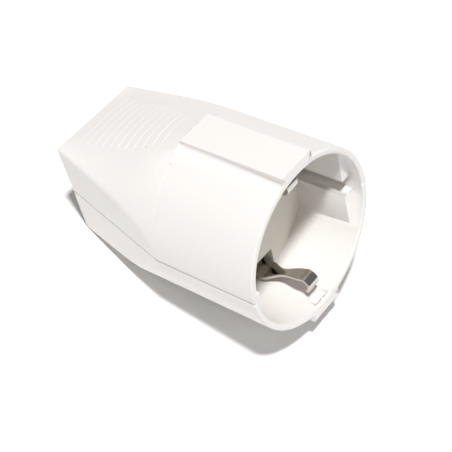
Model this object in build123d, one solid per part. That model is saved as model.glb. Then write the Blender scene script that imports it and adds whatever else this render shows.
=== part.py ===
from build123d import *
from math import atan, degrees
import os

# Trailing socket for an extension lead: two pins and two side earth clips, white moulded housing.
# The pieces are drawn with X along the plug's path, the open mouth at +X and the cord's hole at -X.
# The housing is two half shells that meet on the plane through the axis.
# At the end everything is laid down as it comes to rest, on the handle's sloping underside.

# housing, outside
LENGTH = 63.0
BARREL_RADIUS = 21.4
BARREL_LENGTH = 28.0
TAIL_WIDTH = 26.0
TAIL_HEIGHT = 26.5
TAIL_CORNER = 2.5
TAIL_EDGE = 1.2
WALL = 2.0
TAIL_WALL = 2.6
RIM_ROUND = 0.4
CORNER_FALL = 1.5
FLAT_LEAST = 0.3
TAPER_SECTIONS = 6

# raised strip and grip ribs, the same above and below
STRIP_WIDTH = 10.0
STRIP_HEIGHT = 1.3
STRIP_ROUND = 0.35
RIB_COUNT = 11
RIB_PITCH = 2.5
RIB_GROOVE_WIDTH = 1.0
RIB_GROOVE_DEPTH = 0.35
RIB_WIDTH = 19.0
FIRST_RIB = 5.0

# parting groove between the shells
PART_GROOVE_WIDTH = 0.3
PART_GROOVE_DEPTH = 0.35

# plug recess
RECESS_RADIUS = 19.75
RECESS_DEPTH = 17.5
PIN_SPACING = 19.0
PIN_HOLE = 5.4
PIN_HOLE_CHAMFER = 0.5
PAD_FLAT = 16.5
PAD_HEIGHT = 21.8
PAD_SETBACK = 3.0
PAD_SLOT = 4.6

# contact carrier: a floor disc in a groove of the shells, with a block behind it
DISC_THICKNESS = 3.0
DISC_SEAT = 0.45
DISC_CLEARANCE = 0.1
BLOCK_WIDTH = 30.0
BLOCK_HEIGHT = 21.0
BLOCK_LENGTH = 14.0
CHAMBER_DIAMETER = 8.2
CHAMBER_WALL = 2.0
RETAINER_THICKNESS = 1.4

# pin contacts
SLEEVE_BORE = 4.9
SLEEVE_OUTER = 6.4
SLEEVE_SLIT = 0.8
SLEEVE_SLIT_LENGTH = 8.0
SPRING_THICKNESS = 0.6
SPRING_WIDTH = 3.0
SPRING_GAP = 1.6
SPRING_SETBACK = 1.2
TERMINAL_WIDTH = 7.0
TERMINAL_HEIGHT = 8.0
TERMINAL_LENGTH = 6.5
WIRE_HOLE = 3.0
SLIDE_GAP = 0.1

# earth bow
SHEET = 0.8
CLIP_LEVEL = 18.6
CLIP_BEND = 1.2
CLIP_BASE_WIDTH = 6.5
CLIP_WAIST_WIDTH = 4.6
CLIP_CREST_WIDTH = 5.4
CLIP_TIP_WIDTH = 3.6
CREST_DEPTH = 7.5
CREST_LEVEL = 15.0
TIP_DEPTH = 2.4
TIP_LEVEL = 19.7
CLIP_STRAIGHT = 4.0
WINDOW_MARGIN = 0.5
WINDOW_HEIGHT = 4.9
TIP_POCKET_LENGTH = 2.6
TIP_POCKET_LEVEL = 20.7
EARTH_TAB_WIDTH = 5.6
EARTH_TAB_LENGTH = 22.0

# screws
SCREW = 3.0
SCREW_HEAD = 5.4
SCREW_HEAD_HEIGHT = 1.9
SCREW_SLOT = 0.8
SCREW_SLOT_DEPTH = 0.9
THREAD_GAP = 0.05
TERMINAL_SCREW_LENGTH = 6.0
SHELL_SCREW_LENGTH = 17.0
SHELL_SCREW_DEPTH = 47.0
SHELL_SCREW_SPACING = 22.0
SHELL_BOSS = 6.6
SCREW_SEAT_LEVEL = 9.5
HEAD_CLEARANCE = 0.25
NUT_WIDTH = 5.5
NUT_HEIGHT = 2.4
NUT_LEVEL = 4.0

# cord clamp
CORD_HOLE = 9.5
CLAMP_DEPTH = 55.0
CLAMP_SPACING = 18.0
CLAMP_BOSS = 5.6
CLAMP_LEVEL = 2.0
CLAMP_LENGTH = 23.0
CLAMP_WIDTH = 6.0
CLAMP_THICKNESS = 2.6
CLAMP_ARCH = 8.0
CLAMP_SCREW_LENGTH = 9.0
SADDLE_THICKNESS = 2.0
SADDLE_LEVEL = 3.6

X_MOUTH = LENGTH / 2
X_TAIL = -LENGTH / 2
AXIS_LEVEL = BARREL_RADIUS + STRIP_HEIGHT
TAPER_LENGTH = LENGTH - BARREL_LENGTH
X_FLOOR = X_MOUTH - RECESS_DEPTH
X_DISC_BACK = X_FLOOR - DISC_THICKNESS
X_BLOCK_BACK = X_DISC_BACK - BLOCK_LENGTH
X_CHAMBER_FRONT = X_DISC_BACK - CHAMBER_WALL
X_RETAINER_BACK = X_BLOCK_BACK - RETAINER_THICKNESS
X_TERMINAL_FRONT = X_RETAINER_BACK - SLIDE_GAP
X_TERMINAL_MIDDLE = X_TERMINAL_FRONT - TERMINAL_LENGTH / 2
X_SHELL_SCREW = X_MOUTH - SHELL_SCREW_DEPTH
X_CLAMP = X_MOUTH - CLAMP_DEPTH
LIE_SLOPE = (AXIS_LEVEL - TAIL_HEIGHT / 2) / TAPER_LENGTH
LIE_ANGLE = degrees(atan(LIE_SLOPE))
PIN_OFFSET = PIN_SPACING / 2
DISC_RADIUS = RECESS_RADIUS + DISC_SEAT


TINY = 0.01


def box_between(x0, x1, y0, y1, z0, z1):
    return Pos((x0 + x1) / 2, (y0 + y1) / 2, (z0 + z1) / 2) * Box(abs(x1 - x0), abs(y1 - y0), abs(z1 - z0))


def rod_x(diameter, x0, x1, y=0.0, z=0.0):
    return Pos((x0 + x1) / 2, y, z) * Rot(0, 90, 0) * Cylinder(diameter / 2, abs(x1 - x0))


def rod_z(diameter, x, y, z0, z1):
    return Pos(x, y, (z0 + z1) / 2) * Cylinder(diameter / 2, abs(z1 - z0))


def taper_section(share, inset):
    # One section of the handle: rounded and as tall as the strips where it leaves the barrel,
    # nearly square at the tail.
    width = 2 * BARREL_RADIUS + (TAIL_WIDTH - 2 * BARREL_RADIUS) * share
    height = 2 * AXIS_LEVEL + (TAIL_HEIGHT - 2 * AXIS_LEVEL) * share
    corner = BARREL_RADIUS * (1 - share) ** CORNER_FALL + TAIL_CORNER * share - inset
    corner = max(min(corner, width / 2 - inset - FLAT_LEAST), FLAT_LEAST)
    x = X_TAIL + TAPER_LENGTH * (1 - share)
    plane = Plane(origin=(x, 0, 0), x_dir=(0, 1, 0), z_dir=(1, 0, 0))
    return plane * RectangleRounded(width - 2 * inset, height - 2 * inset, corner)


def handle_form(inset=0.0):
    sections = [taper_section(step / TAPER_SECTIONS, inset) for step in range(TAPER_SECTIONS + 1)]
    return loft(sections, ruled=True)


def body_form(inset=0.0, x_front=X_MOUTH):
    # The round barrel and the tapering handle behind it, drawn in by inset all round.
    return rod_x(2 * (BARREL_RADIUS - inset), X_TAIL + TAPER_LENGTH, x_front) + handle_form(inset)


def strip(side):
    # The flat raised strip that runs along the barrel from the mouth to the handle.
    bar = box_between(X_TAIL + TAPER_LENGTH, X_MOUTH, -STRIP_WIDTH / 2, STRIP_WIDTH / 2,
                      side * PAD_FLAT, side * AXIS_LEVEL)
    top_edges = [e for e in bar.edges().filter_by(Axis.X) if abs(e.center().Z - side * AXIS_LEVEL) < STRIP_ROUND]
    return fillet(top_edges, STRIP_ROUND) - rod_x(2 * RECESS_RADIUS, X_TAIL, X_MOUTH)


def rib_grooves(side):
    # Shallow cross grooves that leave the grip ribs standing between them.
    cuts = []
    for number in range(RIB_COUNT):
        drop = FIRST_RIB + number * RIB_PITCH
        cutter = Box(RIB_GROOVE_WIDTH, RIB_WIDTH, 2 * RIB_GROOVE_DEPTH)
        turned = Rot(0, side * -LIE_ANGLE, 0) * cutter
        cuts.append(Pos(X_TAIL + TAPER_LENGTH - drop, 0, side * (AXIS_LEVEL - drop * LIE_SLOPE)) * turned)
    return Part() + cuts


def recess_space():
    # The plug's well, less the two slotted guide pads on each side wall.
    well = rod_x(2 * RECESS_RADIUS, X_FLOOR, X_MOUTH + WALL)
    for side in (1, -1):
        pad = box_between(X_FLOOR, X_MOUTH - PAD_SETBACK, side * PAD_FLAT, side * BARREL_RADIUS,
                          -PAD_HEIGHT / 2, PAD_HEIGHT / 2)
        slot = box_between(X_FLOOR, X_MOUTH, side * PAD_FLAT, side * BARREL_RADIUS,
                           -PAD_SLOT / 2, PAD_SLOT / 2)
        well -= pad - slot
    flare = Pos(X_MOUTH - RIM_ROUND / 2, 0, 0) * Rot(0, 90, 0) * Cone(
        RECESS_RADIUS, RECESS_RADIUS + RIM_ROUND, RIM_ROUND)
    return well + flare


def tip_pockets():
    # A pocket in the recess wall, above and below, for the tip of each earth clip.
    half = CLIP_TIP_WIDTH / 2 + WINDOW_MARGIN
    x0 = X_MOUTH - TIP_DEPTH - TIP_POCKET_LENGTH / 2
    pockets = []
    for side in (1, -1):
        pockets.append(box_between(x0, x0 + TIP_POCKET_LENGTH, -half, half,
                                   side * CREST_LEVEL, side * TIP_POCKET_LEVEL))
    return Part() + pockets


def parting_groove():
    length = LENGTH + WALL
    sheet = Box(length, 2 * AXIS_LEVEL, PART_GROOVE_WIDTH)
    return sheet - body_form(PART_GROOVE_DEPTH, X_MOUTH + WALL)


def inner_space():
    # The hollow behind the recess: the disc's groove and the chamber down to the tail wall.
    hollow = body_form(WALL, X_FLOOR) & box_between(X_TAIL + TAIL_WALL, X_FLOOR, -AXIS_LEVEL, AXIS_LEVEL,
                                                    -AXIS_LEVEL, AXIS_LEVEL)
    groove = rod_x(2 * (DISC_RADIUS + DISC_CLEARANCE), X_DISC_BACK, X_FLOOR)
    return hollow + groove


def housing():
    barrel = rod_x(2 * BARREL_RADIUS, X_TAIL + TAPER_LENGTH, X_MOUTH)
    barrel = fillet(barrel.edges().filter_by(GeomType.CIRCLE).sort_by(Axis.X)[-1], RIM_ROUND)
    handle = handle_form()
    handle = fillet([e for e in handle.edges() if abs(e.center().X - X_TAIL) < TINY], TAIL_EDGE)
    outer = barrel + handle
    for side in (1, -1):
        outer = outer + strip(side) - rib_grooves(side)
    outer -= inner_space() + recess_space() + tip_pockets()
    outer -= rod_x(CORD_HOLE, X_TAIL - WALL, X_TAIL + 2 * TAIL_WALL)
    return outer - parting_groove()


def shell_half(full, side):
    reach = AXIS_LEVEL + WALL
    half = full & box_between(X_TAIL - WALL, X_MOUTH + WALL, -reach, reach, 0, side * reach)
    inside = body_form(WALL / 2, X_MOUTH)
    for offset in (1, -1):
        y = offset * SHELL_SCREW_SPACING / 2
        boss = rod_z(SHELL_BOSS, X_SHELL_SCREW, y, 0, side * AXIS_LEVEL)
        half += boss & inside
    return half


def upper_shell(full):
    shell = shell_half(full, 1)
    for offset in (1, -1):
        y = offset * SHELL_SCREW_SPACING / 2
        nut = Pos(X_SHELL_SCREW, y, NUT_LEVEL + NUT_HEIGHT / 2) * Box(
            NUT_WIDTH + 2 * SLIDE_GAP, SHELL_BOSS + WALL, NUT_HEIGHT + 2 * SLIDE_GAP)
        inward = box_between(X_SHELL_SCREW - SHELL_BOSS, X_SHELL_SCREW + SHELL_BOSS, 0,
                             y + offset * (NUT_WIDTH / 2 + SLIDE_GAP), NUT_LEVEL - NUT_HEIGHT,
                             NUT_LEVEL + 2 * NUT_HEIGHT)
        shell -= nut & inward
        end = SHELL_SCREW_LENGTH - SCREW_SEAT_LEVEL + 2 * SLIDE_GAP
        shell -= rod_z(SCREW + 2 * THREAD_GAP, X_SHELL_SCREW, y, 0, end)
    return shell


def lower_shell(full):
    shell = shell_half(full, -1)
    inside = body_form(WALL / 2, X_MOUTH)
    for offset in (1, -1):
        y = offset * SHELL_SCREW_SPACING / 2
        shell -= rod_z(SCREW + 2 * THREAD_GAP, X_SHELL_SCREW, y, -AXIS_LEVEL, 0)
        shell -= rod_z(SCREW_HEAD + 2 * HEAD_CLEARANCE, X_SHELL_SCREW, y, -AXIS_LEVEL, -SCREW_SEAT_LEVEL)
        y = offset * CLAMP_SPACING / 2
        boss = rod_z(CLAMP_BOSS, X_CLAMP, y, -AXIS_LEVEL, CLAMP_LEVEL) & inside
        bore = rod_z(SCREW + 2 * THREAD_GAP, X_CLAMP, y, CLAMP_LEVEL + CLAMP_THICKNESS - CLAMP_SCREW_LENGTH
                     - SLIDE_GAP, CLAMP_LEVEL)
        shell += boss - bore
    half = (CLAMP_SPACING - CLAMP_BOSS) / 2
    saddle = box_between(X_CLAMP - SADDLE_THICKNESS / 2, X_CLAMP + SADDLE_THICKNESS / 2, -half, half,
                         -AXIS_LEVEL, -SADDLE_LEVEL)
    return shell + (saddle & inside)


def contact_carrier():
    disc = rod_x(2 * DISC_RADIUS, X_DISC_BACK, X_FLOOR)
    carrier = disc + box_between(X_BLOCK_BACK, X_DISC_BACK, -BLOCK_WIDTH / 2, BLOCK_WIDTH / 2,
                                 -BLOCK_HEIGHT / 2, BLOCK_HEIGHT / 2)
    for side in (1, -1):
        y = side * PIN_OFFSET
        carrier -= rod_x(PIN_HOLE, X_CHAMBER_FRONT, X_FLOOR, y)
        mouth = Pos(X_FLOOR - PIN_HOLE_CHAMFER / 2, y, 0) * Rot(0, 90, 0) * Cone(
            PIN_HOLE / 2, PIN_HOLE / 2 + PIN_HOLE_CHAMFER, PIN_HOLE_CHAMFER)
        carrier -= mouth
        carrier -= rod_x(CHAMBER_DIAMETER, X_BLOCK_BACK, X_CHAMBER_FRONT, y)
        half = CLIP_BASE_WIDTH / 2 + WINDOW_MARGIN
        outer_level = side * (CLIP_LEVEL + SHEET / 2 + WINDOW_MARGIN)
        carrier -= box_between(X_DISC_BACK, X_FLOOR, -half, half, outer_level,
                               outer_level - side * WINDOW_HEIGHT)
    slot = CLIP_BASE_WIDTH / 2 + SLIDE_GAP
    leg_slot = box_between(X_DISC_BACK - SHEET - 2 * SLIDE_GAP, X_DISC_BACK, -slot, slot,
                           -BLOCK_HEIGHT / 2, BLOCK_HEIGHT / 2)
    tab = EARTH_TAB_WIDTH / 2 + SLIDE_GAP
    tab_slot = box_between(X_BLOCK_BACK, X_DISC_BACK, -tab, tab, -SHEET, SHEET)
    return carrier - leg_slot - tab_slot


def contact_retainer():
    plate = box_between(X_RETAINER_BACK, X_BLOCK_BACK, -BLOCK_WIDTH / 2, BLOCK_WIDTH / 2,
                        -BLOCK_HEIGHT / 2, BLOCK_HEIGHT / 2)
    plate = fillet(plate.edges().filter_by(Axis.X), WALL)
    for side in (1, -1):
        plate -= rod_x(SLEEVE_OUTER + 2 * SLIDE_GAP, X_RETAINER_BACK, X_BLOCK_BACK, side * PIN_OFFSET)
    tab = EARTH_TAB_WIDTH / 2 + SLIDE_GAP
    return plate - box_between(X_RETAINER_BACK, X_BLOCK_BACK, -tab, tab, -SHEET, SHEET)


def pin_contact(side):
    # A slit sleeve that grips the plug's pin, with the wire terminal behind it.
    y = side * PIN_OFFSET
    contact = rod_x(SLEEVE_OUTER, X_TERMINAL_FRONT, X_CHAMBER_FRONT, y)
    half = TERMINAL_WIDTH / 2
    contact += box_between(X_TERMINAL_FRONT - TERMINAL_LENGTH, X_TERMINAL_FRONT, y - half, y + half,
                           -TERMINAL_HEIGHT / 2, TERMINAL_HEIGHT / 2)
    contact -= rod_x(SLEEVE_BORE, X_BLOCK_BACK, X_CHAMBER_FRONT, y)
    x_slit = X_CHAMBER_FRONT - SLEEVE_SLIT_LENGTH
    contact -= Pos((x_slit + X_CHAMBER_FRONT) / 2, y, 0) * Box(SLEEVE_SLIT_LENGTH, SLEEVE_SLIT, 2 * SLEEVE_OUTER)
    contact -= rod_x(WIRE_HOLE, X_TERMINAL_FRONT - TERMINAL_LENGTH, X_TERMINAL_MIDDLE + WIRE_HOLE / 2, y)
    return contact - rod_z(SCREW + 2 * THREAD_GAP, X_TERMINAL_MIDDLE, y, -WIRE_HOLE / 2, TERMINAL_HEIGHT / 2)


def contact_spring(side):
    # An open steel ring that presses the sleeve's two halves together.
    y = side * PIN_OFFSET
    x1 = X_CHAMBER_FRONT - SPRING_SETBACK
    bore = SLEEVE_OUTER + 2 * THREAD_GAP
    ring = rod_x(bore + 2 * SPRING_THICKNESS, x1 - SPRING_WIDTH, x1, y) - rod_x(bore, x1 - SPRING_WIDTH, x1, y)
    gap = Pos(x1 - SPRING_WIDTH / 2, y, SLEEVE_OUTER / 2) * Box(SPRING_WIDTH, SPRING_GAP, SLEEVE_OUTER)
    return ring - gap


def clip_line():
    # The earth clip's bent form in side view, for the upper clip: leg, bend, crest and tucked tip.
    x_leg = X_DISC_BACK - SHEET / 2
    x_bend = x_leg + CLIP_BEND
    x_rise = X_FLOOR + CLIP_STRAIGHT
    x_crest = X_MOUTH - CREST_DEPTH
    x_tip = X_MOUTH - TIP_DEPTH
    leg = Line((x_leg, 0), (x_leg, CLIP_LEVEL - CLIP_BEND))
    bend = TangentArc((x_leg, CLIP_LEVEL - CLIP_BEND), (x_bend, CLIP_LEVEL), tangent=(0, 1))
    run = Line((x_bend, CLIP_LEVEL), (x_rise, CLIP_LEVEL))
    spring = Spline((x_rise, CLIP_LEVEL), (x_crest, CREST_LEVEL), (x_tip, TIP_LEVEL),
                    tangents=((1, 0), (1, 0), (0.5, 1)))
    return leg + bend + run + spring


def clip_outline():
    # The clip seen from above: wide where it leaves the floor, waisted, then wider at its crest.
    x_leg = X_DISC_BACK - 2 * SHEET
    x_rise = X_FLOOR + CLIP_STRAIGHT
    x_crest = X_MOUTH - CREST_DEPTH
    x_waist = (x_rise + x_crest) / 2
    x_tip = X_MOUTH - TIP_DEPTH + 2 * SHEET
    half = [(x_leg, CLIP_BASE_WIDTH / 2), (x_rise, CLIP_BASE_WIDTH / 2), (x_waist, CLIP_WAIST_WIDTH / 2),
            (x_crest, CLIP_CREST_WIDTH / 2), (x_tip, CLIP_TIP_WIDTH / 2)]
    back = [(x, -y) for x, y in reversed(half)]
    return extrude(make_face(Polyline(*half, *back, close=True)), AXIS_LEVEL, both=True)


def earth_bow():
    sheet = Plane.XZ * trace(clip_line(), SHEET)
    upper = extrude(sheet, CLIP_BASE_WIDTH / 2, both=True) & clip_outline()
    tab = box_between(X_DISC_BACK - EARTH_TAB_LENGTH, X_DISC_BACK - SHEET / 2, -EARTH_TAB_WIDTH / 2,
                      EARTH_TAB_WIDTH / 2, -SHEET / 2, SHEET / 2)
    return upper + mirror(upper, Plane.XY) + tab


def earth_terminal():
    x0 = X_DISC_BACK - EARTH_TAB_LENGTH
    half = EARTH_TAB_WIDTH / 2
    top = SHEET / 2 + TERMINAL_HEIGHT - SHEET
    block = box_between(x0, x0 + TERMINAL_LENGTH, -half, half, SHEET / 2, top)
    block -= rod_x(WIRE_HOLE, x0, x0 + TERMINAL_LENGTH, 0, SHEET + WIRE_HOLE / 2)
    return block - rod_z(SCREW + 2 * THREAD_GAP, x0 + TERMINAL_LENGTH / 2, 0, SHEET + WIRE_HOLE / 2, top)


def screw(x, y, seat, length, up=True):
    # A slotted cheese-head screw whose shank runs from its seat away from the head.
    side = 1 if up else -1
    shank = rod_z(SCREW, x, y, seat - side * length, seat)
    head = rod_z(SCREW_HEAD, x, y, seat, seat + side * SCREW_HEAD_HEIGHT)
    slot_level = seat + side * (SCREW_HEAD_HEIGHT - SCREW_SLOT_DEPTH / 2)
    return shank + head - Pos(x, y, slot_level) * Box(SCREW_HEAD, SCREW_SLOT, SCREW_SLOT_DEPTH)


def shell_nut(side):
    y = side * SHELL_SCREW_SPACING / 2
    nut = Pos(X_SHELL_SCREW, y, NUT_LEVEL + NUT_HEIGHT / 2) * Box(NUT_WIDTH, NUT_WIDTH, NUT_HEIGHT)
    return nut - rod_z(SCREW + 2 * THREAD_GAP, X_SHELL_SCREW, y, NUT_LEVEL, NUT_LEVEL + NUT_HEIGHT)


def cord_clamp():
    bar = Pos(X_CLAMP, 0, CLAMP_LEVEL + CLAMP_THICKNESS / 2) * Box(CLAMP_WIDTH, CLAMP_LENGTH, CLAMP_THICKNESS)
    bar = fillet(bar.edges().filter_by(Axis.Z), CLAMP_WIDTH / 4)
    bar -= rod_x(CLAMP_ARCH, X_CLAMP - CLAMP_WIDTH, X_CLAMP + CLAMP_WIDTH, 0,
                 CLAMP_LEVEL + CLAMP_THICKNESS / 2 - CLAMP_ARCH / 2)
    for side in (1, -1):
        bar -= rod_z(SCREW + 2 * THREAD_GAP, X_CLAMP, side * CLAMP_SPACING / 2, CLAMP_LEVEL,
                     CLAMP_LEVEL + CLAMP_THICKNESS)
    return bar


def terminal_screw(x, y, top):
    # Set a little proud of its block, as it is before a wire is clamped.
    return screw(x, y, top + SHEET, TERMINAL_SCREW_LENGTH - SHEET)


def build():
    full = housing()
    terminal_top = TERMINAL_HEIGHT / 2
    earth_top = SHEET / 2 + TERMINAL_HEIGHT - SHEET
    x_earth = X_DISC_BACK - EARTH_TAB_LENGTH + TERMINAL_LENGTH / 2
    nodes = {
        "upper_shell": upper_shell(full),
        "lower_shell": lower_shell(full),
        "contact_carrier": contact_carrier(),
        "contact_retainer": contact_retainer(),
        "earth_bow": earth_bow(),
        "earth_terminal": earth_terminal(),
        "earth_terminal_screw": terminal_screw(x_earth, 0, earth_top),
        "cord_clamp": cord_clamp(),
    }
    for name, side in (("live", 1), ("neutral", -1)):
        nodes[name + "_contact"] = pin_contact(side)
        nodes[name + "_contact_spring"] = contact_spring(side)
        nodes[name + "_terminal_screw"] = terminal_screw(X_TERMINAL_MIDDLE, side * PIN_OFFSET, terminal_top)
    for name, side in (("left", 1), ("right", -1)):
        y = side * SHELL_SCREW_SPACING / 2
        nodes["shell_screw_" + name] = screw(X_SHELL_SCREW, y, -SCREW_SEAT_LEVEL, SHELL_SCREW_LENGTH, up=False)
        nodes["shell_nut_" + name] = shell_nut(side)
        y = side * CLAMP_SPACING / 2
        nodes["clamp_screw_" + name] = screw(X_CLAMP, y, CLAMP_LEVEL + CLAMP_THICKNESS, CLAMP_SCREW_LENGTH)
    return nodes


def resting_place(nodes):
    # It lies on the handle's sloping underside, which lifts the mouth. The origin is then
    # the middle of its box on the surface that it lies on.
    turn = Rot(0, -LIE_ANGLE, 0)
    boxes = [(turn * nodes[name]).bounding_box() for name in ("upper_shell", "lower_shell")]
    x_low = min(box.min.X for box in boxes)
    x_high = max(box.max.X for box in boxes)
    return Pos(-(x_low + x_high) / 2, 0, -min(box.min.Z for box in boxes)) * turn


os.makedirs("parts", exist_ok=True)
pieces = build()
place = resting_place(pieces)
for node, shape in pieces.items():
    export_step(place * shape, "parts/" + node + ".step")
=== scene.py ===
import math

import bmesh
import bpy
from mathutils import Matrix, Vector


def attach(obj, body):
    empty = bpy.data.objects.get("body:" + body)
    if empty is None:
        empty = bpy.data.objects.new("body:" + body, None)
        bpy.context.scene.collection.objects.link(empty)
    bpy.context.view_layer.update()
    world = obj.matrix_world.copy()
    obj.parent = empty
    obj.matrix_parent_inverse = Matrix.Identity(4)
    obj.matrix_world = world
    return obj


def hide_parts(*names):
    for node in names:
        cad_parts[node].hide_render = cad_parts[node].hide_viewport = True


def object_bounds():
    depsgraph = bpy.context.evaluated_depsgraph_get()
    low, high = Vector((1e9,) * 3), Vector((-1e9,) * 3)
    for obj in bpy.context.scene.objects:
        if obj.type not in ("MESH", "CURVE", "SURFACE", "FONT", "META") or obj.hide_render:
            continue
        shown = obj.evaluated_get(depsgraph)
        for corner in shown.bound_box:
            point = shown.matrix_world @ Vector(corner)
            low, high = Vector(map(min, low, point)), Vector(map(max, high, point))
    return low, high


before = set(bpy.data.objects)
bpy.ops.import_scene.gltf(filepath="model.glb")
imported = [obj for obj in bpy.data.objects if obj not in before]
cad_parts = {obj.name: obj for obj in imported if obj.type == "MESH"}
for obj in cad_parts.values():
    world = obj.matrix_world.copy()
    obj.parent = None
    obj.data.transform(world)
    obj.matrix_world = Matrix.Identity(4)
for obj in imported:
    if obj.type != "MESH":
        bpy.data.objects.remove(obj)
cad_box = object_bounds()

# The camera stands high on the mouth's side and looks down at the grip and into the recess.
# Its place was found by fitting a camera to the mouth's rims, the strip and the tail's corners.
camera_place = Vector((0.1042, -0.1338, 0.2411))
camera_azimuth = math.radians(36.46)
camera_elevation = math.radians(53.69)
camera_roll = math.radians(-1.10)
photo_size = 452
focal_pixels = 1188
film_width = 36.0

camera_data = bpy.data.cameras.new("photo_camera")
camera_data.sensor_width = film_width
camera_data.lens = film_width * focal_pixels / photo_size
camera = bpy.data.objects.new("photo_camera", camera_data)
bpy.context.scene.collection.objects.link(camera)
back = Vector((math.sin(camera_azimuth) * math.cos(camera_elevation),
               -math.cos(camera_azimuth) * math.cos(camera_elevation),
               math.sin(camera_elevation)))
level_right = Vector((math.cos(camera_azimuth), math.sin(camera_azimuth), 0.0))
turned_right = Matrix.Rotation(-camera_roll, 3, back) @ level_right
turned_up = back.cross(turned_right)
facing = Matrix((turned_right, turned_up, back)).transposed()
camera.matrix_world = Matrix.Translation(camera_place) @ facing.to_4x4()
bpy.context.scene.camera = camera

# The table is a plain white sheet that takes the socket's soft shadow.
# It is a wide flat plane at the level that the socket lies on.
floor_reach = 3.0
floor_white = (0.98, 0.98, 0.98, 1.0)
floor_roughness = 0.9
floor_gloss = 0.1

floor_mesh = bpy.data.meshes.new("table_sheet")
floor_mesh.from_pydata([(-floor_reach, -floor_reach, 0), (floor_reach, -floor_reach, 0),
                        (floor_reach, floor_reach, 0), (-floor_reach, floor_reach, 0)], [], [(0, 1, 2, 3)])
floor = bpy.data.objects.new("table_sheet", floor_mesh)
bpy.context.scene.collection.objects.link(floor)
floor_material = bpy.data.materials.new("white_sheet")
floor_material.use_nodes = True
floor_shader = floor_material.node_tree.nodes["Principled BSDF"]
floor_shader.inputs["Base Color"].default_value = floor_white
floor_shader.inputs["Roughness"].default_value = floor_roughness
floor_shader.inputs["Specular IOR Level"].default_value = floor_gloss
floor_mesh.materials.append(floor_material)

# Weak daylight from all round, a small lamp high up, which tucks the shadow under the barrel, and a
# broad, weak one before the mouth. The camera sees a white surround.
# Each lamp has a name, its watts, its width in metres, and its azimuth and elevation in degrees.
sky_strength = 0.26
surround_strength = 1.0
lamp_distance = 1.2
lamps = (("high_lamp", 15.8, 0.12, 42.0, 77.0), ("mouth_lamp", 0.5, 0.4, 80.0, 45.0))

world = bpy.data.worlds.new("soft_daylight")
bpy.context.scene.world = world
world.use_nodes = True
sky_nodes = world.node_tree.nodes
sky_links = world.node_tree.links
sky_nodes.clear()
sky = sky_nodes.new("ShaderNodeBackground")
sky.inputs["Strength"].default_value = sky_strength
surround = sky_nodes.new("ShaderNodeBackground")
surround.inputs["Strength"].default_value = surround_strength
rays = sky_nodes.new("ShaderNodeLightPath")
which = sky_nodes.new("ShaderNodeMixShader")
sky_out = sky_nodes.new("ShaderNodeOutputWorld")
sky_links.new(rays.outputs["Is Camera Ray"], which.inputs["Fac"])
sky_links.new(sky.outputs[0], which.inputs[1])
sky_links.new(surround.outputs[0], which.inputs[2])
sky_links.new(which.outputs[0], sky_out.inputs["Surface"])

for lamp_name, power, width, azimuth, elevation in lamps:
    lamp_data = bpy.data.lights.new(lamp_name, "AREA")
    lamp_data.shape = "DISK"
    lamp_data.size = width
    lamp_data.energy = power
    lamp = bpy.data.objects.new(lamp_name, lamp_data)
    bpy.context.scene.collection.objects.link(lamp)
    lamp_turn = math.radians(azimuth)
    lamp_rise = math.radians(elevation)
    lamp_way = Vector((math.sin(lamp_turn) * math.cos(lamp_rise),
                       -math.cos(lamp_turn) * math.cos(lamp_rise),
                       math.sin(lamp_rise)))
    lamp.location = lamp_way * lamp_distance
    lamp.rotation_euler = lamp_way.to_track_quat("Z", "Y").to_euler()

bpy.context.scene.view_settings.view_transform = "Standard"

# The housing is two injection-moulded half shells of satin white thermoplastic, screwed together
# from below. Flat sides cut the handle's round form in a curved edge, and its top and bottom go
# from a crown at the barrel to a flat edge at the tail.
shell_light = (0.800, 0.770, 0.745, 1.0)
shell_dark = (0.780, 0.749, 0.722, 1.0)
shell_sheen = (0.30, 0.42)
shell_grain = 0.00035
shell_grain_depth = 0.000008
shell_sharp_from = math.radians(24)
cloud_scale = 60.0
cloud_detail = 3.0
patch_scale = 210.0
patch_detail = 4.0
grain_detail = 2.0
joining_reach = 0.000002

# The socket lies on its handle, so its axis is raised. Forms that follow the axis are worked out
# along it, with x towards the mouth, and then laid in the frame.
axis_slope = math.radians(15.1096)
axis_place = (-0.0013307, 0.0210029)

# The handle runs from a step behind the barrel's strips to the tail, and a share of 0 to 1 says
# how far along it a point is.
barrel_radius = 0.0214
strip_level = 0.0227
strip_half = 0.005
step_x = 0.0035
handle_length = 0.035
tail_half_width = 0.013
tail_half_height = 0.01325
crown_drop = 0.0117
step_fade_start = math.radians(13.6)
step_fade_end = math.radians(26)

# The crease between the side and the top is rounded a little, and less where the handle begins.
crease_round = 0.0009
crease_start = 0.05
crease_growth = 6

# The solid's handle is a rounded rectangle, whose corners shrink from the barrel's own radius.
solid_tail_corner = 0.0025
solid_corner_fall = 1.5
solid_flat_least = 0.0003

# The skin is what lies this close to the solid's outside. Deeper points move less and less, and
# the inner wall stays.
skin_depth = 0.0006
wall_depth = 0.0022
parting_depth = 0.00035
parting_reach = 0.0015
rib_depth = 0.00005
groove_start = 0.0001
groove_slope = 0.0002
longest_edge = 0.0007
split_rounds = 7

# Slacks tell the barrel's end, its strips and its round from the handle beside them, and the least
# part keeps a division from zero.
step_slack = 0.001
strip_slack = 0.00002
strip_top_share = 0.9
round_slack = 0.00003
least_part = 0.001


def laid(x, y, z):
    return Vector((x * math.cos(axis_slope) - z * math.sin(axis_slope) + axis_place[0], y,
                   x * math.sin(axis_slope) + z * math.cos(axis_slope) + axis_place[1]))


def along_axis(point):
    x, z = point.x - axis_place[0], point.z - axis_place[1]
    return (x * math.cos(axis_slope) + z * math.sin(axis_slope), point.y,
            z * math.cos(axis_slope) - x * math.sin(axis_slope))


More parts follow.
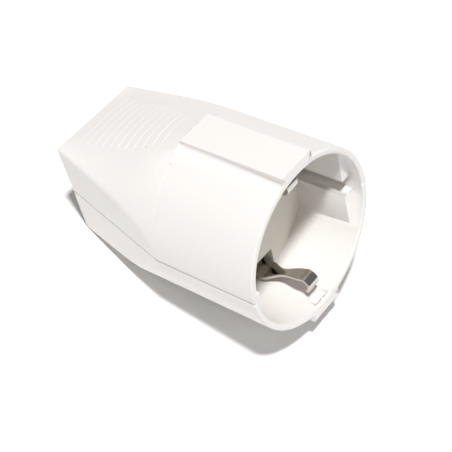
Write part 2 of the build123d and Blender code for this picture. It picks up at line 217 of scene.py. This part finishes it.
def moulded_surface():
    # One group for every moulded piece: faint clouds in the colour, uneven sheen and fine grain.
    group = bpy.data.node_groups.new("moulded_surface", "ShaderNodeTree")
    face = group.interface
    face.new_socket("Light", in_out="INPUT", socket_type="NodeSocketColor")
    face.new_socket("Dark", in_out="INPUT", socket_type="NodeSocketColor")
    face.new_socket("Smoothest", in_out="INPUT", socket_type="NodeSocketFloat")
    face.new_socket("Roughest", in_out="INPUT", socket_type="NodeSocketFloat")
    face.new_socket("Grain", in_out="INPUT", socket_type="NodeSocketFloat")
    face.new_socket("Color", in_out="OUTPUT", socket_type="NodeSocketColor")
    face.new_socket("Roughness", in_out="OUTPUT", socket_type="NodeSocketFloat")
    face.new_socket("Height", in_out="OUTPUT", socket_type="NodeSocketFloat")
    nodes, links = group.nodes, group.links
    given = nodes.new("NodeGroupInput")
    made = nodes.new("NodeGroupOutput")
    where = nodes.new("ShaderNodeTexCoord")
    clouds = nodes.new("ShaderNodeTexNoise")
    clouds.inputs["Scale"].default_value = cloud_scale
    clouds.inputs["Detail"].default_value = cloud_detail
    links.new(where.outputs["Object"], clouds.inputs["Vector"])
    tint = nodes.new("ShaderNodeMix")
    tint.data_type = "RGBA"
    links.new(clouds.outputs["Fac"], tint.inputs["Factor"])
    links.new(given.outputs["Light"], tint.inputs["A"])
    links.new(given.outputs["Dark"], tint.inputs["B"])
    links.new(tint.outputs["Result"], made.inputs["Color"])
    patches = nodes.new("ShaderNodeTexNoise")
    patches.inputs["Scale"].default_value = patch_scale
    patches.inputs["Detail"].default_value = patch_detail
    links.new(where.outputs["Object"], patches.inputs["Vector"])
    sheen = nodes.new("ShaderNodeMapRange")
    links.new(patches.outputs["Fac"], sheen.inputs["Value"])
    links.new(given.outputs["Smoothest"], sheen.inputs["To Min"])
    links.new(given.outputs["Roughest"], sheen.inputs["To Max"])
    links.new(sheen.outputs["Result"], made.inputs["Roughness"])
    per_metre = nodes.new("ShaderNodeMath")
    per_metre.operation = "DIVIDE"
    per_metre.inputs[0].default_value = 1.0
    links.new(given.outputs["Grain"], per_metre.inputs[1])
    grain = nodes.new("ShaderNodeTexNoise")
    grain.inputs["Detail"].default_value = grain_detail
    links.new(where.outputs["Object"], grain.inputs["Vector"])
    links.new(per_metre.outputs[0], grain.inputs["Scale"])
    links.new(grain.outputs["Fac"], made.inputs["Height"])
    return group


surface_group = moulded_surface()


def moulded_plastic(name, light, dark, sheen, grain, grain_depth):
    material = bpy.data.materials.new(name)
    material.use_nodes = True
    nodes, links = material.node_tree.nodes, material.node_tree.links
    shader = nodes["Principled BSDF"]
    surface = nodes.new("ShaderNodeGroup")
    surface.node_tree = surface_group
    surface.inputs["Light"].default_value = light
    surface.inputs["Dark"].default_value = dark
    surface.inputs["Smoothest"].default_value = sheen[0]
    surface.inputs["Roughest"].default_value = sheen[1]
    surface.inputs["Grain"].default_value = grain
    bump = nodes.new("ShaderNodeBump")
    bump.inputs["Distance"].default_value = grain_depth
    links.new(surface.outputs["Height"], bump.inputs["Height"])
    links.new(surface.outputs["Color"], shader.inputs["Base Color"])
    links.new(surface.outputs["Roughness"], shader.inputs["Roughness"])
    links.new(bump.outputs["Normal"], shader.inputs["Normal"])
    return material


def joined_copy(name):
    # The node's loose triangles, joined, to work on without touching the node itself.
    build = bmesh.new()
    build.from_mesh(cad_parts[name].data)
    bmesh.ops.remove_doubles(build, verts=build.verts, dist=joining_reach)
    return build


def finished_piece(name, build, material, sharp_from):
    # Smooth, with sharp edges where the faces turn by more than the angle, and shaded by the large
    # flat faces first.
    mesh = bpy.data.meshes.new(name + "_dressed")
    build.to_mesh(mesh)
    build.free()
    mesh.shade_smooth()
    mesh.set_sharp_from_angle(angle=sharp_from)
    mesh.materials.append(material)
    piece = bpy.data.objects.new(name + "_dressed", mesh)
    bpy.context.scene.collection.objects.link(piece)
    even = piece.modifiers.new("even_shading", "WEIGHTED_NORMAL")
    even.keep_sharp = True
    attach(piece, "root")
    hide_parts(name)
    return piece


def handle_size(share):
    return (barrel_radius + (tail_half_width - barrel_radius) * share,
            strip_level + (tail_half_height - strip_level) * share)


def solid_reach(share, side, up):
    # How far the solid's rounded-rectangle handle reaches from the axis in one direction.
    half_width, half_height = handle_size(share)
    corner = barrel_radius * (1 - share) ** solid_corner_fall + solid_tail_corner * share
    corner = max(min(corner, half_width - solid_flat_least), solid_flat_least)
    side = abs(side)
    up = abs(up)
    inner_y = half_width - corner
    inner_z = half_height - corner
    if side > 0 and half_width * up / side <= inner_z:
        return half_width / side
    if up > 0 and half_height * side / up <= inner_y:
        return half_height / up
    middle = inner_y * side + inner_z * up
    return middle + math.sqrt(max(middle ** 2 - inner_y ** 2 - inner_z ** 2 + corner ** 2, 0))


def soft_least(first, second, reach):
    # The smaller of two reaches, rounded where they meet.
    return min(first, second) - max(reach - abs(first - second), 0) ** 2 / (4 * reach)


def moulded_reach(share, side, up):
    # The least of the barrel's round with its fading step, the flat side and the crowned top.
    side = abs(side)
    up = abs(up)
    half_width, half_height = handle_size(share)
    off_top = math.atan2(side, up)
    if off_top < step_fade_start:
        round_form = strip_level / up
    else:
        fade = min((off_top - step_fade_start) / (step_fade_end - step_fade_start), 1)
        step = strip_level / math.cos(step_fade_start) - barrel_radius
        round_form = barrel_radius + step * (1 - fade) ** 2
    flat_side = half_width / max(side, least_part)
    sag = crown_drop * (1 - share) * (side / half_width) ** 2
    crown = half_height / max(up, least_part)
    if sag > least_part:
        crown = (math.sqrt(up ** 2 + 4 * sag * half_height) - up) / (2 * sag)
    reach = crease_round * min(1, crease_start + crease_growth * share)
    return soft_least(soft_least(round_form, flat_side, reach), crown, reach)


def on_skin(vertex):
    # Whether a point lies on the handle's outside or in its shallow grooves.
    x, y, z = along_axis(vertex.co)
    share = (step_x - x) / handle_length
    if share < -step_slack:
        return False
    radius = math.hypot(y, z)
    return solid_reach(min(max(share, 0), 1), y / radius, z / radius) - radius < skin_depth


def follow_moulding(build):
    # Splits the handle's skin finely, then moves it onto the moulded form and keeps its grooves.
    for split in range(split_rounds):
        skin_known = {vertex: on_skin(vertex) for vertex in build.verts}
        long_edges = [edge for edge in build.edges if edge.calc_length() > longest_edge
                      and skin_known[edge.verts[0]] and skin_known[edge.verts[1]]]
        if not long_edges:
            break
        bmesh.ops.subdivide_edges(build, edges=long_edges, cuts=1)
        bmesh.ops.triangulate(build, faces=[face for face in build.faces if len(face.verts) > 3])
    for vertex in build.verts:
        x, y, z = along_axis(vertex.co)
        share = (step_x - x) / handle_length
        radius = math.hypot(y, z)
        on_strip = abs(y) < strip_half + strip_slack and abs(z) > barrel_radius * strip_top_share
        if share < -step_slack / 2 or (share < step_slack and on_strip):
            continue
        if share < step_slack and radius < barrel_radius + round_slack:
            if radius > barrel_radius - round_slack:
                vertex.co = laid(x, y * barrel_radius / radius, z * barrel_radius / radius)
            continue
        share = min(max(share, 0), 1)
        depth = solid_reach(share, y / radius, z / radius) - radius
        if depth > wall_depth:
            continue
        skin = moulded_reach(share, y / radius, z / radius)
        groove = parting_depth if abs(z) < parting_reach else rib_depth
        sunk = depth
        if depth < skin_depth:
            sunk = groove * min(max((depth - groove_start) / groove_slope, 0), 1)
        fade = min(max((depth - skin_depth) / (wall_depth - skin_depth), 0), 1)
        reach = (skin - sunk) * (1 - fade) + radius * fade
        vertex.co = laid(x, y * reach / radius, z * reach / radius)
        vertex.co.x = max(vertex.co.x, cad_box[0][0])
        vertex.co.z = max(vertex.co.z, cad_box[0][2])


shell_plastic = moulded_plastic("white_shell_plastic", shell_light, shell_dark, shell_sheen,
                                shell_grain, shell_grain_depth)
for shell in ("upper_shell", "lower_shell"):
    shell_build = joined_copy(shell)
    follow_moulding(shell_build)
    finished_piece(shell, shell_build, shell_plastic, shell_sharp_from)

# The contact carrier, its retainer and the cord clamp are moulded in a duller white. Their warmer
# tint is partly their own colour and partly painted warm shade for the carrier's face on the recess
# floor, which lies in shade. They slide into the shells before these are closed.
carrier_light = (0.850, 0.812, 0.742, 1.0)
carrier_dark = (0.815, 0.775, 0.702, 1.0)
carrier_sheen = (0.45, 0.6)
carrier_grain = 0.0005
carrier_grain_depth = 0.000012
carrier_sharp_from = math.radians(26)

carrier_plastic = moulded_plastic("carrier_plastic", carrier_light, carrier_dark, carrier_sheen,
                                  carrier_grain, carrier_grain_depth)
for moulding in ("contact_carrier", "contact_retainer", "cord_clamp"):
    finished_piece(moulding, joined_copy(moulding), carrier_plastic, carrier_sharp_from)

# The earth bow is one bent strip of nickel-plated bronze that springs from windows in the recess
# floor: broad at each foot, waisted, and rolled over at its crest, with a tab to the terminal.
nickel_light = (0.72, 0.70, 0.66, 1.0)
nickel_dark = (0.44, 0.41, 0.37, 1.0)
nickel_sheen = (0.07, 0.16)
nickel_lines = (300.0, 2500.0, 2500.0)
line_detail = 4.0
line_depth = 0.000006
sheet = 0.0008
leg_x = 0.0106
bend = 0.0012
bend_steps = 6
foot_level = 0.0182
foot_end = 0.0152
rise_steps = 10
waist_bite = 1.5
crest_place = (0.0270, 0.0156)
crest_radius = 0.0018
roll_start = math.radians(125)
roll_end = math.radians(-35)
roll_steps = 16
tip_length = 0.0016
foot_width = 0.0058
waist_width = 0.0022
crest_width = 0.0036
tip_width = 0.0028
tab_half_width = 0.0028
tab_end = -0.0110
bow_sharp_from = math.radians(40)
rolled_edge = 0.00015
rolled_edge_steps = 2
rolled_edge_from = math.radians(50)


def drawn_surface():
    # One group for every metal: fine drawn lines that vary its colour, sheen and height.
    group = bpy.data.node_groups.new("drawn_surface", "ShaderNodeTree")
    face = group.interface
    face.new_socket("Light", in_out="INPUT", socket_type="NodeSocketColor")
    face.new_socket("Dark", in_out="INPUT", socket_type="NodeSocketColor")
    face.new_socket("Smoothest", in_out="INPUT", socket_type="NodeSocketFloat")
    face.new_socket("Roughest", in_out="INPUT", socket_type="NodeSocketFloat")
    face.new_socket("Lines", in_out="INPUT", socket_type="NodeSocketVector")
    face.new_socket("Color", in_out="OUTPUT", socket_type="NodeSocketColor")
    face.new_socket("Roughness", in_out="OUTPUT", socket_type="NodeSocketFloat")
    face.new_socket("Height", in_out="OUTPUT", socket_type="NodeSocketFloat")
    nodes, links = group.nodes, group.links
    given = nodes.new("NodeGroupInput")
    made = nodes.new("NodeGroupOutput")
    where = nodes.new("ShaderNodeTexCoord")
    stretch = nodes.new("ShaderNodeMapping")
    links.new(where.outputs["Object"], stretch.inputs["Vector"])
    links.new(given.outputs["Lines"], stretch.inputs["Scale"])
    lines = nodes.new("ShaderNodeTexNoise")
    lines.inputs["Scale"].default_value = 1.0
    lines.inputs["Detail"].default_value = line_detail
    links.new(stretch.outputs["Vector"], lines.inputs["Vector"])
    tint = nodes.new("ShaderNodeMix")
    tint.data_type = "RGBA"
    links.new(lines.outputs["Fac"], tint.inputs["Factor"])
    links.new(given.outputs["Light"], tint.inputs["A"])
    links.new(given.outputs["Dark"], tint.inputs["B"])
    links.new(tint.outputs["Result"], made.inputs["Color"])
    gloss = nodes.new("ShaderNodeMapRange")
    links.new(lines.outputs["Fac"], gloss.inputs["Value"])
    links.new(given.outputs["Smoothest"], gloss.inputs["To Min"])
    links.new(given.outputs["Roughest"], gloss.inputs["To Max"])
    links.new(gloss.outputs["Result"], made.inputs["Roughness"])
    links.new(lines.outputs["Fac"], made.inputs["Height"])
    return group


metal_group = drawn_surface()


def drawn_metal(name, light, dark, sheen, line_scale):
    material = bpy.data.materials.new(name)
    material.use_nodes = True
    nodes, links = material.node_tree.nodes, material.node_tree.links
    shader = nodes["Principled BSDF"]
    shader.inputs["Metallic"].default_value = 1.0
    surface = nodes.new("ShaderNodeGroup")
    surface.node_tree = metal_group
    surface.inputs["Light"].default_value = light
    surface.inputs["Dark"].default_value = dark
    surface.inputs["Smoothest"].default_value = sheen[0]
    surface.inputs["Roughest"].default_value = sheen[1]
    surface.inputs["Lines"].default_value = line_scale
    bump = nodes.new("ShaderNodeBump")
    bump.inputs["Distance"].default_value = line_depth
    links.new(surface.outputs["Height"], bump.inputs["Height"])
    links.new(surface.outputs["Color"], shader.inputs["Base Color"])
    links.new(surface.outputs["Roughness"], shader.inputs["Roughness"])
    links.new(bump.outputs["Normal"], shader.inputs["Normal"])
    return material


def clip_path():
    # Points along the middle of the upper clip, each with the strip's width there.
    path = [(leg_x, 0.0, foot_width)]
    for step in range(bend_steps + 1):
        turn = math.pi / 2 * step / bend_steps
        path.append((leg_x + bend * (1 - math.cos(turn)),
                     foot_level - bend + bend * math.sin(turn), foot_width))
    path.append((foot_end, foot_level, foot_width))
    roll = []
    for step in range(roll_steps + 1):
        turn = roll_start + (roll_end - roll_start) * step / roll_steps
        roll.append((crest_place[0] + crest_radius * math.cos(turn),
                     crest_place[1] - crest_radius * math.sin(turn), crest_width))
    for step in range(1, rise_steps):
        share = step / rise_steps
        ease = share * share * (3 - 2 * share)
        width = foot_width + (crest_width - foot_width) * ease
        width += (waist_width - width) * math.sin(math.pi * share) ** waist_bite
        path.append((foot_end + (roll[0][0] - foot_end) * share,
                     foot_level + (roll[0][1] - foot_level) * (share + ease) / 2, width))
    path.extend(roll)
    path.append((roll[-1][0] + tip_length * math.sin(roll_end),
                 roll[-1][1] + tip_length * math.cos(roll_end), tip_width))
    return path


def swept_strip(build, path, side):
    # The strip's four-cornered section, carried along the path and closed at both ends.
    rings = []
    for index, (x, z, width) in enumerate(path):
        before = path[max(index - 1, 0)]
        after = path[min(index + 1, len(path) - 1)]
        way = Vector((after[0] - before[0], after[1] - before[1])).normalized()
        out = Vector((-way.y, way.x)) * (sheet / 2)
        rings.append([build.verts.new(laid(x + out.x * off, half * width / 2, side * (z + out.y * off)))
                      for half, off in ((-1, -1), (1, -1), (1, 1), (-1, 1))])
    for first, second in zip(rings, rings[1:]):
        for corner in range(4):
            follow = (corner + 1) % 4
            build.faces.new((first[corner], first[follow], second[follow], second[corner]))
    build.faces.new(rings[0])
    build.faces.new(rings[-1])


nickel = drawn_metal("nickel_plated_strip", nickel_light, nickel_dark, nickel_sheen, nickel_lines)
bow_build = bmesh.new()
for clip_side in (1, -1):
    swept_strip(bow_build, clip_path(), clip_side)
tab_form = bmesh.ops.create_cube(bow_build, size=1.0)
for corner in tab_form["verts"]:
    corner.co = laid((leg_x + tab_end) / 2 + corner.co.x * (leg_x - tab_end),
                     corner.co.y * 2 * tab_half_width, corner.co.z * sheet)
bmesh.ops.recalc_face_normals(bow_build, faces=bow_build.faces)
bow = finished_piece("earth_bow", bow_build, nickel, bow_sharp_from)
rolled = bow.modifiers.new("rolled_edges", "BEVEL")
rolled.width = rolled_edge
rolled.segments = rolled_edge_steps
rolled.limit_method = "ANGLE"
rolled.angle_limit = rolled_edge_from

# The pin contacts and the earth terminal are machined brass, left bright.
# They slide into the carrier's chambers from behind.
brass_light = (0.80, 0.64, 0.33, 1.0)
brass_dark = (0.66, 0.50, 0.24, 1.0)
brass_sheen = (0.22, 0.36)
brass_lines = (1800.0, 400.0, 1800.0)
brass_sharp_from = math.radians(26)

brass = drawn_metal("turned_brass", brass_light, brass_dark, brass_sheen, brass_lines)
for contact in ("live_contact", "neutral_contact", "earth_terminal"):
    finished_piece(contact, joined_copy(contact), brass, brass_sharp_from)

# Screws, nuts and the contact springs are zinc-plated steel.
# The shell screws go up from below into nuts in the upper shell.
steel_light = (0.66, 0.66, 0.67, 1.0)
steel_dark = (0.52, 0.52, 0.54, 1.0)
steel_sheen = (0.25, 0.42)
steel_lines = (1500.0, 1500.0, 500.0)
steel_sharp_from = math.radians(26)

steel = drawn_metal("zinc_plated_steel", steel_light, steel_dark, steel_sheen, steel_lines)
for fastener in ("earth_terminal_screw", "live_terminal_screw", "neutral_terminal_screw",
                 "live_contact_spring", "neutral_contact_spring", "shell_screw_left", "shell_screw_right",
                 "shell_nut_left", "shell_nut_right", "clamp_screw_left", "clamp_screw_right"):
    finished_piece(fastener, joined_copy(fastener), steel, steel_sharp_from)
